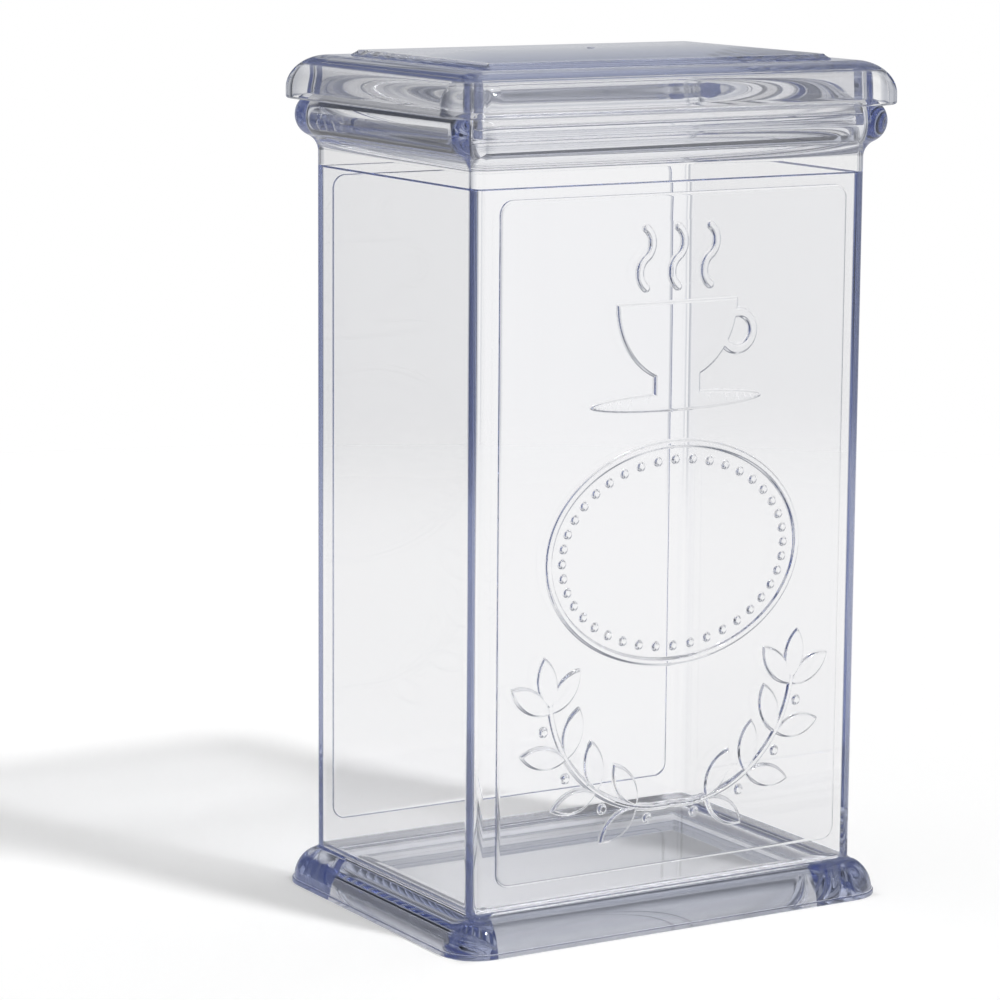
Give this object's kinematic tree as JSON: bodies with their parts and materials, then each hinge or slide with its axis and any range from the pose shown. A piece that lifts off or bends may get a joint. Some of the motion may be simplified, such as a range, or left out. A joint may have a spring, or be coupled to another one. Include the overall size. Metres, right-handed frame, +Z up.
{
  "type": "tea canister",
  "caption": "Clear moulded rectangular tea canister with a beaded collar, a flared foot, a raised ornament on its front panel, and a lift-off plug lid with a seal.",
  "frame": {"origin": "centre of the foot, on the surface that the canister stands on", "axes": "+Z up through the lid, +X along the wide front face to the right as seen from the front, and the front with the ornament faces -Y"},
  "size_m": [0.1256, 0.0926, 0.2084],
  "materials": {
    "body_plastic": "clear, polished, with a faint blue-violet tint where it is thick",
    "lid_plastic": "clear, polished, with a faint blue-violet tint where it is thick",
    "seal": "soft, clear, slightly matt"
  },
  "bodies": {
    "canister": {"canister_body": "body_plastic"},
    "lid_body": {"lid": "lid_plastic", "seal_ring": "seal"}
  },
  "joints": [
    {"name": "lid_lift", "type": "slide", "parent": "canister", "child": "lid_body", "axis": [0, 0, 1], "range_m": [0, 0.05]}
  ]
}
